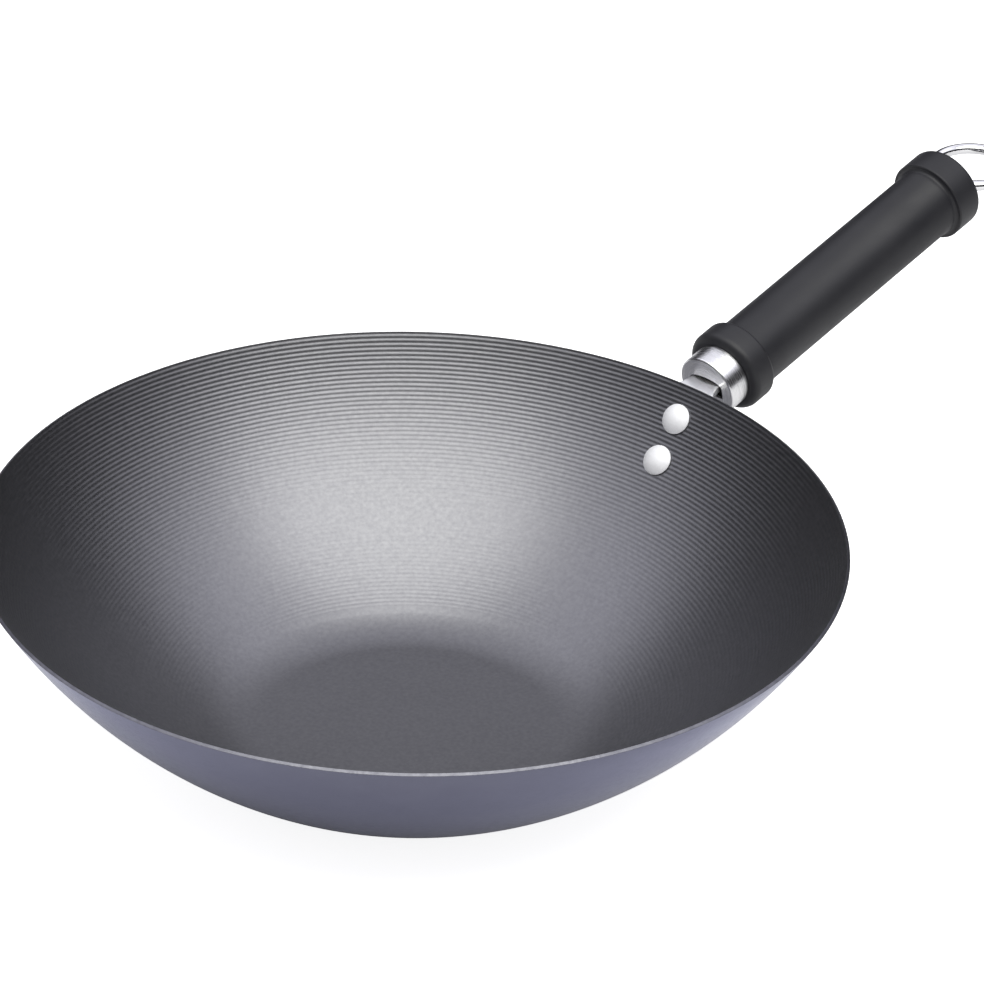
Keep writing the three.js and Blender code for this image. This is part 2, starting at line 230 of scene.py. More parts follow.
# Painted light on the table that only metal mirrors: an emitted glow by distance from a point left of the
# wok, painted shade under the wok, and none behind the wok
PAINTED_TABLE_GLOW = ((66 * MM, 0.0), (145 * MM, 0.52), (190 * MM, 0.05))
PAINTED_GLOW_SIDE = -13 * MM
PAINTED_GLOW_BACK = (20 * MM, 80 * MM)


# Outlines

def arc_points(centre, radius, start, end):
    steps = max(2, math.ceil(abs(end - start) / ARC_STEP))
    points = []
    for step in range(steps + 1):
        angle = start + (end - start) * step / steps
        points.append(centre + Vector((math.cos(angle), math.sin(angle))) * radius)
    return points


def filleted(corners):
    """An outline through corners of (radius, along) or (radius, along, fillet), and back to the first."""
    points = []
    for index, (radius, along, *fillet) in enumerate(corners):
        corner = Vector((radius, along))
        if not fillet:
            points.append(corner)
            continue
        following = corners[(index + 1) % len(corners)]
        back = (Vector(corners[index - 1][:2]) - corner).normalized()
        ahead = (Vector(following[:2]) - corner).normalized()
        half = back.angle(ahead) / 2
        reach = fillet[0] / math.tan(half)
        centre = corner + (back + ahead).normalized() * (fillet[0] / math.sin(half))
        entry = corner + back * reach - centre
        leave = corner + ahead * reach - centre
        start = math.atan2(entry.y, entry.x)
        turn = math.atan2(entry.cross(leave), entry.dot(leave))
        points += arc_points(centre, fillet[0], start, start + turn)
    return points


def spin_about_z(mesh, geom, steps):
    bmesh.ops.spin(
        mesh,
        geom=geom,
        cent=(0, 0, 0),
        axis=(0, 0, 1),
        angle=math.tau,
        steps=steps,
        use_merge=True,
    )


def spun(outline, sides, closed=False):
    """An outline of (radius, along) spun about Z."""
    mesh = bmesh.new()
    verts = [mesh.verts.new((radius, 0, along)) for radius, along in outline]
    edges = [mesh.edges.new(pair) for pair in zip(verts, verts[1:])]
    if closed:
        edges.append(mesh.edges.new((verts[-1], verts[0])))
    spin_about_z(mesh, verts + edges, sides)
    bmesh.ops.remove_doubles(mesh, verts=mesh.verts, dist=MERGE_DISTANCE)
    bmesh.ops.recalc_face_normals(mesh, faces=mesh.faces)
    return mesh


# Bowl shape

wall_foot = Vector((
    BASE_RADIUS + KNUCKLE_RADIUS * math.sin(KNUCKLE_TURN),
    KNUCKLE_RADIUS * (1 - math.cos(KNUCKLE_TURN)),
))
wall_chord = Vector((RIM_RADIUS, BOWL_HEIGHT)) - wall_foot
rim_slope = 2 * math.atan2(wall_chord.y, wall_chord.x) - KNUCKLE_TURN
wall_radius = wall_chord.length / (2 * math.sin((rim_slope - KNUCKLE_TURN) / 2))
wall_length = (rim_slope - KNUCKLE_TURN) * wall_radius


def outward(slope):
    """Outward normal of a surface that climbs at a slope, as (radius, height)."""
    return Vector((math.sin(slope), -math.cos(slope)))


wall_centre = Vector((RIM_RADIUS, BOWL_HEIGHT)) - outward(rim_slope) * wall_radius


def on_wall(slope, outside=0.0):
    return wall_centre + outward(slope) * (wall_radius + outside)


def slope_below_rim(drop):
    return rim_slope - drop / wall_radius


def ring_cut(drop):
    """How deep the spun rings cut into the inner wall, a distance down it from the rim."""
    fade = min(1, max(0, (drop - RINGS_FULL) / (RINGS_SHALLOW - RINGS_FULL)))
    depth = RING_DEPTH * (1 + (RING_DEPTH_LOW - 1) * fade)
    ends = min(1, max(0, RINGS_END - drop) / RING_PITCH)
    return depth * ends * (0.5 - 0.5 * math.cos(math.tau * drop / RING_PITCH))


# Frames

def wall_frame(slope):
    """Z points inward off the wall at a rivet, from the wall's outer face."""
    foot = on_wall(slope)
    normal = outward(slope)
    inward = Vector((-normal.x, 0, -normal.y))
    side = Vector((0, 1, 0))
    matrix = Matrix((side.cross(inward), side, inward)).transposed().to_4x4()
    matrix.translation = (foot.x, 0, foot.y)
    return matrix


handle_frame = Matrix.Translation(PIVOT) @ Matrix.Rotation(-HANDLE_TILT, 4, "Y")

# From a piece spun about Z to the handle's own axis, with its Y upward
lathe_to_handle = handle_frame @ Matrix(((0, 0, 1), (1, 0, 0), (0, 1, 0))).to_4x4()


# Pieces

def add_piece(name, mesh, body, materials, stands_for):
    """Makes a piece of a finished bmesh that stands for a CAD node."""
    data = bpy.data.meshes.new(name)
    mesh.to_mesh(data)
    mesh.free()
    data.shade_smooth()
    data.set_sharp_from_angle(angle=SHARP_ANGLE)
    for material in materials:
        data.materials.append(material)
    piece = bpy.data.objects.new(name, data)
    bpy.context.scene.collection.objects.link(piece)
    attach(piece, body)
    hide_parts(stands_for)
    return piece


def bowl_outline():
    """Half section of the bowl, from under its centre, round the rim, to the centre inside."""
    knuckle = Vector((BASE_RADIUS, KNUCKLE_RADIUS))
    downward = -math.pi / 2
    foot = downward + KNUCKLE_TURN
    outside = [Vector((0, 0)), Vector((BASE_RADIUS / 2, 0))]
    outside += arc_points(knuckle, KNUCKLE_RADIUS, downward, foot)[:-1]
    for step in range(WALL_STEPS):
        outside.append(on_wall(KNUCKLE_TURN + (rim_slope - KNUCKLE_TURN) * step / WALL_STEPS))
    lip_foot = on_wall(slope_below_rim(2 * RIM_ROUND))
    lip_out = on_wall(rim_slope)
    lip_in = on_wall(rim_slope, -SHEET)
    lip_end = on_wall(slope_below_rim(2 * RIM_ROUND), -SHEET)
    lip = filleted([(*lip_foot,), (*lip_out, RIM_ROUND), (*lip_in, RIM_ROUND), (*lip_end,)])
    inside = []
    step = RING_PITCH / RING_POINTS
    for index in range(math.ceil(2 * RIM_ROUND / step) + 1, int(wall_length / step)):
        drop = index * step
        inside.append(on_wall(slope_below_rim(drop), ring_cut(drop) - SHEET))
    inside += arc_points(knuckle, KNUCKLE_RADIUS - SHEET, foot, downward)
    inside += [Vector((BASE_RADIUS / 2, SHEET)), Vector((0, SHEET))]
    return outside + lip + inside


def make_bowl(materials):
    """Faces inside, outside and on the rim's cut edge take their own finish."""
    mesh = spun(bowl_outline(), BOWL_SIDES)
    for face in mesh.faces:
        normal = face.normal
        centre = face.calc_center_median()
        leaning_out = normal.x * centre.x + normal.y * centre.y
        if normal.z <= 0:
            face.material_index = OUTSIDE
        elif leaning_out > RIM_LEAN * centre.xy.length:
            face.material_index = CUT_EDGE
    add_piece("spun_bowl", mesh, "wok", materials, "wok_bowl")


def make_rivet(place, drop, material):
    crown = DOME_HEIGHT - DOME_EDGE
    sphere = (DOME_RADIUS ** 2 + crown ** 2) / (2 * crown)
    seat = SHEET + FIT
    pan_seat = -(STRAP + 2 * FIT)
    centre = Vector((0, seat + DOME_HEIGHT - sphere))
    outline = filleted([
        (0, pan_seat - PAN_HEIGHT),
        (PAN_RADIUS, pan_seat - PAN_HEIGHT, PAN_ROUND),
        (PAN_RADIUS, pan_seat),
        (SHANK_RADIUS, pan_seat),
        (SHANK_RADIUS, seat),
        (DOME_RADIUS, seat),
    ])
    edge = math.acos(DOME_RADIUS / sphere)
    for step in range(DOME_STEPS):
        angle = edge + (math.pi / 2 - edge) * step / DOME_STEPS
        outline.append(centre + Vector((math.cos(angle), math.sin(angle))) * sphere)
    outline.append(Vector((0, seat + DOME_HEIGHT)))
    mesh = spun(outline, RIVET_SIDES)
    bmesh.ops.transform(mesh, matrix=wall_frame(slope_below_rim(drop)), verts=mesh.verts)
    add_piece(place + "_rivet", mesh, "wok", [material], "rivet_" + place)


def bracket_stations():
    """Points along the strap's mid-line, as (x, z), heading and width."""
    midline = FIT + STRAP / 2
    tab_slope = slope_below_rim(RIVET_DROPS["lower"] + TAB_BELOW_RIVET)
    along = Vector((math.cos(HANDLE_TILT), math.sin(HANDLE_TILT)))
    above = Vector((-along.y, along.x))
    axis_point = Vector((PIVOT.x, PIVOT.z))
    reach = wall_radius + midline + BEND_RADIUS
    rise = (wall_centre - axis_point).dot(above)
    bend_slope = HANDLE_TILT + math.acos((rise - TONGUE_LIFT + BEND_RADIUS) / reach)
    bend_centre = wall_centre + outward(bend_slope) * reach
    tongue_end = axis_point + along * (FERRULE_FRONT + TONGUE_END) + above * TONGUE_LIFT
    path = []
    for step in range(TAB_STEPS):
        slope = tab_slope + (bend_slope - tab_slope) * step / TAB_STEPS
        path.append((on_wall(slope, midline), slope))
    for step in range(BEND_STEPS + 1):
        slope = bend_slope + (HANDLE_TILT - bend_slope) * step / BEND_STEPS
        path.append((bend_centre - outward(slope) * BEND_RADIUS, slope))
    path.append((tongue_end, HANDLE_TILT))

    # The strap narrows between the rim and the ferrule, and its tab has a round end
    view = (tab_slope + HANDLE_TILT) / 2
    view_axis = Vector((math.cos(view), math.sin(view)))
    tab_start = path[0][0].dot(view_axis)
    narrow_from = on_wall(rim_slope, midline).dot(view_axis)
    narrow_to = (axis_point + along * FERRULE_FRONT).dot(view_axis)
    half_tab = TAB_WIDTH / 2
    stations = []
    for point, heading in path:
        place = point.dot(view_axis)
        share = min(1, max(0, (place - narrow_from) / (narrow_to - narrow_from)))
        width = TAB_WIDTH + (TONGUE_WIDTH - TAB_WIDTH) * share * share * (3 - 2 * share)
        from_centre = max(0, tab_start + half_tab - place)
        width *= math.sqrt(max(TAB_TIP, 1 - (from_centre / half_tab) ** 2))
        stations.append((point, heading, width))
    return stations


def make_bracket(material):
    """A straight bar cut across at each station, bent and shaped there, then its edges rounded."""
    stations = bracket_stations()
    last = len(stations) - 1
    mesh = bmesh.new()
    bmesh.ops.create_cube(mesh, size=1)
    lengthways = [edge for edge in mesh.edges if edge.verts[0].co.x != edge.verts[1].co.x]
    bmesh.ops.subdivide_edges(mesh, edges=lengthways, cuts=last - 1)
    for vert in mesh.verts:
        point, heading, width = stations[round((vert.co.x + 0.5) * last)]
        place = point - outward(heading) * (vert.co.z * STRAP)
        vert.co = (place.x, vert.co.y * width, place.y)
    bmesh.ops.recalc_face_normals(mesh, faces=mesh.faces)
    bmesh.ops.bevel(
        mesh,
        geom=[edge for edge in mesh.edges if edge.calc_face_angle(0) > STRAP_CORNER],
        offset=STRAP_ROUND,
        offset_type="OFFSET",
        affect="EDGES",
        segments=STRAP_ROUND_STEPS,
        profile=0.5,
        material=-1,
        clamp_overlap=True,
    )
    add_piece("strap_bracket", mesh, "wok", [material], "handle_bracket")


def slot_reach(angle):
    """How far the ferrule's arched slot reaches from the handle's axis at an angle from its side."""
    across = math.cos(angle)
    up = math.sin(angle)
    spring = TONGUE_LIFT
    if up < 0 and SLOT_BELOW / -up * abs(across) < SLOT_HALF_WIDTH:
        return SLOT_BELOW / -up
    if SLOT_HALF_WIDTH * up <= spring * abs(across):
        return SLOT_HALF_WIDTH / abs(across)

    # Where a line at that angle meets the arch, half an ellipse above its spring
    a = (across / SLOT_HALF_WIDTH) ** 2 + (up / SLOT_ARCH) ** 2
    b = -2 * up * spring / SLOT_ARCH ** 2
    c = (spring / SLOT_ARCH) ** 2 - 1
    return (-b + math.sqrt(b * b - 4 * a * c)) / (2 * a)


def make_ferrule(material):
    """Rings of the cup drawn from inside its mouth, through the slot, to its outer rear edge."""
    inside = FERRULE_RADIUS - FERRULE_WALL
    floor = FERRULE_FRONT + FERRULE_WALL
    slot = None
    rings = [(inside, FERRULE_REAR), (inside, floor), (slot, floor), (slot, FERRULE_FRONT)]
    rings += filleted([
        (inside / 2, FERRULE_FRONT),
        (FERRULE_RADIUS, FERRULE_FRONT, FERRULE_ROUND),
        (FERRULE_RADIUS, FERRULE_REAR),
    ])[1:]
    mesh = bmesh.new()
    bmesh.ops.create_circle(mesh, cap_ends=False, radius=inside, segments=HANDLE_SIDES)
    verts = list(mesh.verts)
    edges = list(mesh.edges)
    for index, (radius, along) in enumerate(rings):
        if index:
            grown = bmesh.ops.extrude_edge_only(mesh, edges=edges)["geom"]
            verts = [item for item in grown if isinstance(item, bmesh.types.BMVert)]
            edges = [item for item in grown if isinstance(item, bmesh.types.BMEdge)]
        for vert in verts:
            angle = math.atan2(vert.co.y, vert.co.x)
            reach = slot_reach(angle) if radius is slot else radius
            vert.co = (math.cos(angle) * reach, math.sin(angle) * reach, along)
    bmesh.ops.bridge_loops(mesh, edges=[edge for edge in mesh.edges if edge.is_boundary])
    bmesh.ops.recalc_face_normals(mesh, faces=mesh.faces)
    bmesh.ops.transform(mesh, matrix=lathe_to_handle, verts=mesh.verts)
    add_piece("plated_ferrule", mesh, "wok", [material], "ferrule")


def make_grip(material):
    shaft_start = GRIP_FRONT + FRONT_COLLAR
    shaft_end = GRIP_TAIL - TAIL_COLLAR
    socket_floor = GRIP_FRONT + SOCKET_BORE_DEPTH
    recess_floor = GRIP_TAIL - RECESS_DEPTH
    outline = filleted([
        (SOCKET_BORE, GRIP_FRONT - NOSE_LENGTH),
        (NOSE_RADIUS, GRIP_FRONT - NOSE_LENGTH),
        (NOSE_RADIUS, GRIP_FRONT),
        (COLLAR_RADIUS, GRIP_FRONT, FRONT_ROUND),
        (COLLAR_RADIUS, shaft_start, SHOULDER_ROUND),
        (SHAFT_RADIUS, shaft_start, SHOULDER_ROOT),
        (SHAFT_RADIUS, shaft_end - TAIL_LAND),
        (SHAFT_RADIUS + TAIL_LAND_RISE, shaft_end - TAIL_LAND + 2 * TAIL_LAND_RISE),
        (SHAFT_RADIUS + TAIL_LAND_RISE, shaft_end, TAIL_SHOULDER_ROOT),
        (COLLAR_RADIUS, shaft_end, TAIL_SHOULDER_ROUND),
        (COLLAR_RADIUS, GRIP_TAIL, TAIL_ROUND),
        (RECESS_RADIUS, GRIP_TAIL, RECESS_EDGE),
        (RECESS_RADIUS, recess_floor),
        (ROD_BORE, recess_floor),
        (ROD_BORE, socket_floor),
        (SOCKET_BORE, socket_floor),
    ])
    mesh = spun(outline, HANDLE_SIDES, closed=True)
    bmesh.ops.transform(mesh, matrix=lathe_to_handle, verts=mesh.verts)
    add_piece("stick_grip", mesh, "wok", [material], "grip")


def make_tail_washer(material):
    front = GRIP_TAIL - RECESS_DEPTH + FIT
    outline = filleted([
        (ROD_BORE, front),
        (WASHER_RADIUS, front, WASHER_CHAMFER),
        (WASHER_RADIUS, front + WASHER, WASHER_CHAMFER),
        (ROD_BORE, front + WASHER, WASHER_CHAMFER),
    ])
    mesh = spun(outline, HANDLE_SIDES, closed=True)
    bmesh.ops.transform(mesh, matrix=lathe_to_handle, verts=mesh.verts)
    add_piece("recess_washer", mesh, "wok", [material], "tail_washer")


def wire_ring(mesh, radius, wire_radius, matrix):
    """Adds a ring of round wire about Z, moved by a matrix."""
    already = set(mesh.verts)
    stand_up = Matrix.Translation((radius, 0, 0)) @ Matrix.Rotation(math.pi / 2, 4, "X")
    bmesh.ops.create_circle(mesh, cap_ends=False, radius=wire_radius, segments=WIRE_SIDES, matrix=stand_up)
    verts = [vert for vert in mesh.verts if vert not in already]
    edges = [edge for edge in mesh.edges if edge.verts[0] not in already]
    spin_about_z(mesh, verts + edges, HANDLE_SIDES)
    added = [vert for vert in mesh.verts if vert not in already]
    bmesh.ops.transform(mesh, matrix=matrix, verts=added)


def make_eye_bolt(material):
    neck_end = EYE_CENTRE - EYE_RADIUS
    flange_rear = neck_end - NECK_LENGTH
    flange_front = flange_rear - FLANGE
    mesh = spun(filleted([
        (0, BOLT_TIP),
        (ROD_RADIUS, BOLT_TIP, FLANGE_CHAMFER),
        (ROD_RADIUS, flange_front),
        (FLANGE_RADIUS, flange_front),
        (FLANGE_RADIUS, flange_rear, FLANGE_CHAMFER),
        (EYE_WIRE_RADIUS, flange_rear, FLANGE_CHAMFER),
        (EYE_WIRE_RADIUS, neck_end),
        (0, neck_end),
    ]), HANDLE_SIDES)
    bmesh.ops.transform(mesh, matrix=lathe_to_handle, verts=mesh.verts)
    eye_place = handle_frame @ Matrix.Translation((EYE_CENTRE, 0, 0))
    wire_ring(mesh, EYE_RADIUS, EYE_WIRE_RADIUS, eye_place @ Matrix.Rotation(math.pi / 2, 4, "X"))
    bmesh.ops.recalc_face_normals(mesh, faces=mesh.faces)
    add_piece("long_eye_bolt", mesh, "wok", [material], "eye_bolt")


def make_hanging_ring(material):
    mesh = bmesh.new()
    hinge = handle_frame @ Matrix.Rotation(RING_DROOP, 4, "Y") @ Matrix.Rotation(RING_LEAN, 4, "Z")
    wire_ring(mesh, RING_RADIUS, RING_WIRE_RADIUS, hinge @ Matrix.Translation((RING_RADIUS, 0, 0)))
    bmesh.ops.recalc_face_normals(mesh, faces=mesh.faces)
    add_piece("tail_ring", mesh, "ring", [material], "hanging_ring")


# Values that finishes and lights work with

def feed(tree, value, socket):
    """Links a node's output to a socket, or sets a plain value on it."""
    if isinstance(value, bpy.types.NodeSocket):
        tree.links.new(value, socket)
    else:
        socket.default_value = value


def coordinates(tree, kind):
    return tree.nodes.new("ShaderNodeTexCoord").outputs[kind]


def height(tree, place):
    parts = tree.nodes.new("ShaderNodeSeparateXYZ")
    tree.links.new(place, parts.inputs["Vector"])
    return parts.outputs["Z"]


def worked_out(tree, operation, *values):
    node = tree.nodes.new("ShaderNodeMath")
    node.operation = operation
    for value, socket in zip(values, node.inputs):
        feed(tree, value, socket)
    return node.outputs["Value"]


def measured(tree, operation, place, other):
    """A distance or dot product of a place with a fixed vector."""
    node = tree.nodes.new("ShaderNodeVectorMath")
    node.operation = operation
    node.inputs[1].default_value = other
    tree.links.new(place, node.inputs[0])
    return node.outputs["Value"]


def ranged(tree, value, start, end, low, high):
    """A value mapped from start and end onto low and high, and held there beyond them."""
    node = tree.nodes.new("ShaderNodeMapRange")
    feed(tree, value, node.inputs["Value"])
    feed(tree, start, node.inputs["From Min"])
    feed(tree, end, node.inputs["From Max"])
    feed(tree, low, node.inputs["To Min"])
    feed(tree, high, node.inputs["To Max"])
    return node.outputs["Result"]


# Finishes

def new_material(name):
    material = bpy.data.materials.new(name)
    material.use_nodes = True
    tree = material.node_tree
    return material, tree, tree.nodes["Principled BSDF"]


def noise(tree, scale, detail=2.0, stretch=(1, 1, 1), turn=0.0):
    """Noise over the piece's own coordinates, turned about Y and stretched."""
    mapping = tree.nodes.new("ShaderNodeMapping")
    mapping.inputs["Scale"].default_value = stretch
    mapping.inputs["Rotation"].default_value = (0, turn, 0)
    texture = tree.nodes.new("ShaderNodeTexNoise")
    texture.inputs["Scale"].default_value = scale
    texture.inputs["Detail"].default_value = detail
    tree.links.new(coordinates(tree, "Object"), mapping.inputs["Vector"])
    tree.links.new(mapping.outputs["Vector"], texture.inputs["Vector"])
    return texture.outputs["Fac"]


def tinted(tree, shader, pattern, dark, light):
    """Colours a finish from dark to light by a noise pattern."""
    ramp = tree.nodes.new("ShaderNodeValToRGB")
    first, last = ramp.color_ramp.elements
    first.position = NOISE_LOW
    last.position = NOISE_HIGH
    first.color = (*dark, 1)
    last.color = (*light, 1)
    tree.links.new(pattern, ramp.inputs["Fac"])
    tree.links.new(ramp.outputs["Color"], shader.inputs["Base Color"])


def roughened(tree, shader, pattern, low, high):
    """Varies a finish's roughness by a noise pattern."""
    roughness = ranged(tree, pattern, NOISE_LOW, NOISE_HIGH, low, high)
    tree.links.new(roughness, shader.inputs["Roughness"])


def bumped(tree, shader, pattern, depth, strength=1):
    """Raises a finish by a noise pattern."""
    bump = tree.nodes.new("ShaderNodeBump")
    bump.inputs["Distance"].default_value = depth
    feed(tree, strength, bump.inputs["Strength"])
    tree.links.new(pattern, bump.inputs["Height"])
    tree.links.new(bump.outputs["Normal"], shader.inputs["Normal"])


def wall_grain(tree):
    """One on the bowl's wall, and less on its flat base."""
    up = height(tree, coordinates(tree, "Object"))
    return ranged(tree, up, BASE_GRAIN_TOP, wall_foot.y + WALL_GRAIN_RISE, BASE_GRAIN, 1)


def inner_coat():
    """Satin dark coat with the fleck of sprayed steel."""
    material, tree, shader = new_material("inner_coat")
    fleck = noise(tree, scale=650, detail=5)
    tinted(tree, shader, fleck, dark=(0.163, 0.163, 0.175), light=(0.195, 0.195, 0.206))
    roughened(tree, shader, noise(tree, scale=900), low=0.35, high=0.41)
    shader.inputs["Metallic"].default_value = 1
    grain = noise(tree, scale=900, detail=3)
    bumped(tree, shader, grain, depth=0.01 * MM, strength=wall_grain(tree))
    return material


def outer_coat():
    """The smoother, bluer coat under the bowl."""
    material, tree, shader = new_material("outer_coat")
    cloud = noise(tree, scale=60)
    tinted(tree, shader, cloud, dark=(0.084, 0.085, 0.109), light=(0.094, 0.095, 0.120))
    roughened(tree, shader, noise(tree, scale=500), low=0.16, high=0.22)
    shader.inputs["Metallic"].default_value = 1
    shader.inputs["Specular Tint"].default_value = (0.84, 0.85, 1, 1)
    bumped(tree, shader, noise(tree, scale=1800), depth=0.003 * MM)
    return material


def cut_edge():
    """Steel at the rim, rubbed bright through the coat."""
    material, tree, shader = new_material("cut_edge")
    wear = noise(tree, scale=300)
    tinted(tree, shader, wear, dark=(0.114, 0.114, 0.132), light=(0.156, 0.156, 0.175))
    roughened(tree, shader, noise(tree, scale=900), low=0.34, high=0.46)
    shader.inputs["Metallic"].default_value = 1
    return material


def satin_rivet():
    """Tumbled aluminium."""
    material, tree, shader = new_material("satin_rivet")
    tumbled = noise(tree, scale=1600)
    tinted(tree, shader, tumbled, dark=(0.80, 0.80, 0.82), light=(0.86, 0.86, 0.88))
    roughened(tree, shader, tumbled, low=0.6, high=0.72)
    shader.inputs["Metallic"].default_value = 0.3
    bumped(tree, shader, tumbled, depth=0.004 * MM)
    return material


def satin_plate():
    """Plated strap with the draw marks of its strip along it."""
    material, tree, shader = new_material("satin_plate")
    drawn = noise(tree, scale=900, stretch=(0.1, 1, 0.1))
    tinted(tree, shader, drawn, dark=(0.88, 0.88, 0.88), light=(0.94, 0.94, 0.94))
    roughened(tree, shader, drawn, low=0.28, high=0.38)
    shader.inputs["Metallic"].default_value = 1
    bumped(tree, shader, drawn, depth=0.003 * MM)
    return material


def turning_marks(tree):
    """Lathe marks that ring the handle's axis, on a face across it as on a side along it."""
    to_axis = tree.nodes.new("ShaderNodeMapping")
    to_axis.inputs["Location"].default_value = handle_frame.inverted().translation
    to_axis.inputs["Rotation"].default_value = handle_frame.inverted().to_euler()
    parts = tree.nodes.new("ShaderNodeSeparateXYZ")
    across = tree.nodes.new("ShaderNodeCombineXYZ")
    radius = tree.nodes.new("ShaderNodeVectorMath")
    radius.operation = "LENGTH"
    tree.links.new(coordinates(tree, "Object"), to_axis.inputs["Vector"])
    tree.links.new(to_axis.outputs["Vector"], parts.inputs["Vector"])
    tree.links.new(parts.outputs["Y"], across.inputs["Y"])
    tree.links.new(parts.outputs["Z"], across.inputs["Z"])
    tree.links.new(across.outputs["Vector"], radius.inputs[0])
    marks = tree.nodes.new("ShaderNodeTexNoise")
    marks.noise_dimensions = "1D"
    marks.inputs["Scale"].default_value = 5000
    tool_path = worked_out(tree, "ADD", parts.outputs["X"], radius.outputs["Value"])
    tree.links.new(tool_path, marks.inputs["W"])
    return marks.outputs["Fac"]


def turned_plate():
    """Bright plate over the ferrule's turning marks."""
    material, tree, shader = new_material("turned_plate")
    marks = turning_marks(tree)
    tinted(tree, shader, marks, dark=(0.76, 0.76, 0.77), light=(0.84, 0.84, 0.85))
    roughened(tree, shader, marks, low=0.2, high=0.3)
    shader.inputs["Metallic"].default_value = 1
    bumped(tree, shader, marks, depth=0.05 * MM)
    return material


def polished_plate():
    """Bright plate on the eye bolt, its washer and the ring."""
    material, tree, shader = new_material("polished_plate")
    haze = noise(tree, scale=180)
    tinted(tree, shader, haze, dark=(0.78, 0.78, 0.79), light=(0.84, 0.84, 0.85))
    roughened(tree, shader, haze, low=0.06, high=0.12)
    shader.inputs["Metallic"].default_value = 1
    bumped(tree, shader, noise(tree, scale=90), depth=0.01 * MM)
    return material


def machined_steel():
    """Plain steel of the pieces inside the handle."""
    material, tree, shader = new_material("machined_steel")
    marks = noise(tree, scale=1500, stretch=(1, 0.02, 0.02), turn=HANDLE_TILT)
    tinted(tree, shader, marks, dark=(0.42, 0.42, 0.43), light=(0.56, 0.56, 0.57))
    roughened(tree, shader, marks, low=0.3, high=0.45)
    shader.inputs["Metallic"].default_value = 1
    return material


def black_phenolic():
    """Satin moulding, faintly clouded, with the fine grain of its mould."""
    material, tree, shader = new_material("black_phenolic")
    cloud = noise(tree, scale=40)
    tinted(tree, shader, cloud, dark=(0.014, 0.014, 0.017), light=(0.019, 0.019, 0.022))
    roughened(tree, shader, noise(tree, scale=120), low=0.42, high=0.5)
    shader.inputs["Specular IOR Level"].default_value = 0.36
    bumped(tree, shader, noise(tree, scale=2400), depth=0.006 * MM)
    return material


# Studio

def view_right():
    return Vector((math.cos(VIEW_AZIMUTH), math.sin(VIEW_AZIMUTH), 0))


def view_back(elevation):
    flat = math.cos(elevation)
    return Vector((math.sin(VIEW_AZIMUTH) * flat, -math.cos(VIEW_AZIMUTH) * flat, math.sin(elevation)))


def light_by_ray(tree, seen, mirrored, otherwise):
    """A light level that the camera sees, that gloss and glass mirror, or that otherwise lights the wok."""
    path = tree.nodes.new("ShaderNodeLightPath")
    gloss = worked_out(tree, "MAXIMUM", path.outputs["Is Glossy Ray"], path.outputs["Is Transmission Ray"])
    level = otherwise
    for ray, ray_level in ((gloss, mirrored), (path.outputs["Is Camera Ray"], seen)):
        choice = tree.nodes.new("ShaderNodeMix")
        feed(tree, ray, choice.inputs["Factor"])
        feed(tree, level, choice.inputs["A"])
        feed(tree, ray_level, choice.inputs["B"])
        level = choice.outputs["Result"]
    return level


def room_white(tree, direction):
    """The room's white by direction: less on the camera's side, and more to the left and right."""
    beyond = measured(tree, "DOT_PRODUCT", direction, -view_back(0))
    white = ranged(tree, beyond, *ROOM_TURN, ROOM_WHITE_NEAR, ROOM_WHITE)
    sideways = measured(tree, "DOT_PRODUCT", direction, view_right())
    either_side = worked_out(tree, "ABSOLUTE", sideways)
    gain = ranged(tree, either_side, *ROOM_SIDES_TURN, 1, ROOM_SIDES)
    return worked_out(tree, "MULTIPLY", white, gain)


def room_colour(tree):
    """White to the camera, and faintly blue to the wok."""
    path = tree.nodes.new("ShaderNodeLightPath")
    tint = tree.nodes.new("ShaderNodeMixRGB")
    tint.inputs["Color1"].default_value = ROOM_TINT
    tint.inputs["Color2"].default_value = WHITE
    tree.links.new(path.outputs["Is Camera Ray"], tint.inputs["Fac"])
    return tint.outputs["Color"]


def make_world():
    """White to the camera, and to metal a room that brightens from its horizon up to white."""
    world = bpy.data.worlds.new("white_studio")
    world.use_nodes = True
    tree = world.node_tree
    background = tree.nodes["Background"]
    direction = coordinates(tree, "Generated")
    up = height(tree, direction)
    white = room_white(tree, direction)
    room = ranged(tree, up, ROOM_DIM_HEIGHT, ROOM_WHITE_HEIGHT, ROOM_HORIZON, white)
    tree.links.new(room_colour(tree), background.inputs["Color"])
    tree.links.new(light_by_ray(tree, 1, room, ROOM_LIGHT), background.inputs["Strength"])
    bpy.context.scene.world = world


def painted_table_glow(tree):
    """Painted glow of the table as metal mirrors it: a pale band of emitted light round the wok, and
    painted shade under it and behind it.
    """
    place = coordinates(tree, "Object")
    away = measured(tree, "DISTANCE", place, view_right() * PAINTED_GLOW_SIDE)
    band = tree.nodes.new("ShaderNodeValToRGB")
    stops = band.color_ramp.elements
    stops.remove(stops[0])
    for distance, level in PAINTED_TABLE_GLOW:
        stops.new(distance).color = (level, level, level, 1)
    stops.remove(stops[-1])
    tree.links.new(away, band.inputs["Fac"])
    behind = measured(tree, "DOT_PRODUCT", place, -view_back(0))
    in_front = ranged(tree, behind, *PAINTED_GLOW_BACK, 1, 0)
    return worked_out(tree, "MULTIPLY", band.outputs["Color"], in_front)


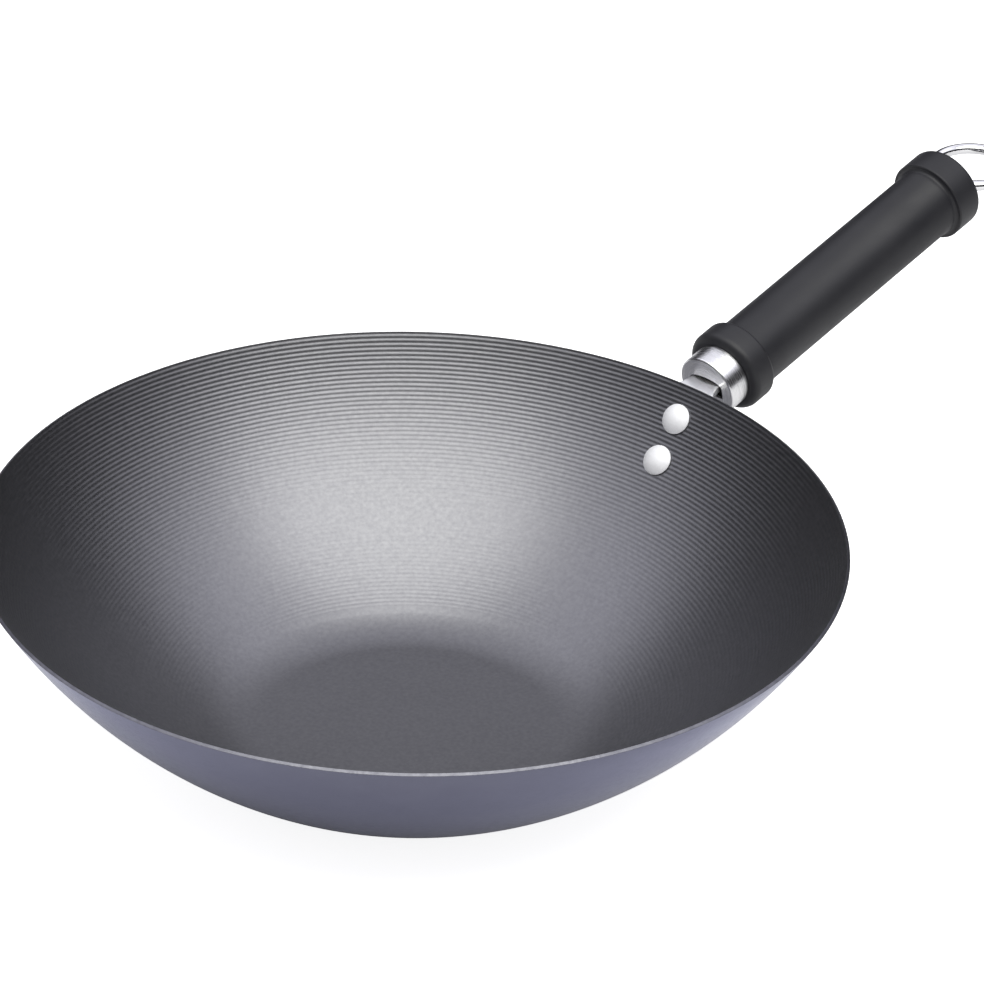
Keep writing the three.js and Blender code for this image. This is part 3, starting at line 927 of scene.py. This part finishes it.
def make_floor():
    """A white table that keeps the wok's shadow, and to metal shows a painted glow round the wok and
    painted shade under it.
    """
    mesh = bmesh.new()
    bmesh.ops.create_grid(mesh, x_segments=2, y_segments=2, size=TABLE_SIZE)
    data = bpy.data.meshes.new("table_top")
    mesh.to_mesh(data)
    mesh.free()
    floor = bpy.data.objects.new("table_top", data)
    floor.location.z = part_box("wok_bowl")[0].z - TABLE_GAP
    bpy.context.scene.collection.objects.link(floor)
    material, tree, shader = new_material("white_table")
    shader.inputs["Base Color"].default_value = TABLE_COLOUR
    shader.inputs["Roughness"].default_value = TABLE_ROUGHNESS
    shader.inputs["Specular IOR Level"].default_value = 0
    shader.inputs["Emission Color"].default_value = WHITE
    # Emission that only gloss and glass see is painted light: a glow round the wok, and dark under it
    level = light_by_ray(tree, TABLE_SEEN, painted_table_glow(tree), 0)
    tree.links.new(level, shader.inputs["Emission Strength"])
    data.materials.append(material)


def make_softbox():
    lamp = bpy.data.lights.new("softbox", "AREA")
    lamp.shape = "ELLIPSE"
    lamp.size = SOFTBOX_WIDTH
    lamp.size_y = SOFTBOX_DEPTH
    lamp.energy = SOFTBOX_POWER
    lamp.color = SOFTBOX_COLOUR
    softbox = bpy.data.objects.new("softbox", lamp)
    toward = view_back(SOFTBOX_ELEVATION)
    bowl_mouth = Vector((0, 0, BOWL_HEIGHT))
    softbox.location = bowl_mouth + toward * SOFTBOX_DISTANCE + view_right() * SOFTBOX_SIDE
    softbox.rotation_euler = toward.to_track_quat("Z", "Y").to_euler()
    softbox.visible_camera = False
    bpy.context.scene.collection.objects.link(softbox)


def make_camera():
    lens = bpy.data.cameras.new("camera")
    lens.lens = lens.sensor_width * FOCAL_PIXELS / IMAGE_PIXELS
    camera = bpy.data.objects.new("camera", lens)
    back = view_back(VIEW_ELEVATION)
    right = view_right()
    aim = Matrix((right, back.cross(right), back)).transposed().to_4x4()
    pan = Matrix.Rotation(-VIEW_PAN, 4, "Y")
    tilt = Matrix.Rotation(VIEW_TILT, 4, "X")
    roll = Matrix.Rotation(VIEW_ROLL, 4, "Z")
    stand = Vector((0, 0, BOWL_HEIGHT)) + back * VIEW_DISTANCE
    camera.matrix_world = Matrix.Translation(stand) @ aim @ pan @ tilt @ roll
    bpy.context.scene.collection.objects.link(camera)
    bpy.context.scene.camera = camera


make_camera()
make_world()
make_floor()
make_softbox()

make_bowl([inner_coat(), outer_coat(), cut_edge()])
rivet_finish = satin_rivet()
for rivet_place, rivet_drop in RIVET_DROPS.items():
    make_rivet(rivet_place, rivet_drop, rivet_finish)
plate = polished_plate()
make_bracket(satin_plate())
make_ferrule(turned_plate())
make_grip(black_phenolic())
make_tail_washer(plate)
make_eye_bolt(plate)
make_hanging_ring(plate)

steel = machined_steel()
for hidden in ("threaded_socket", "seat_washer"):
    frame["nodes"][hidden].material_slots[0].material = steel

bpy.context.scene.view_settings.view_transform = "Standard"

bpy.context.view_layer.update()
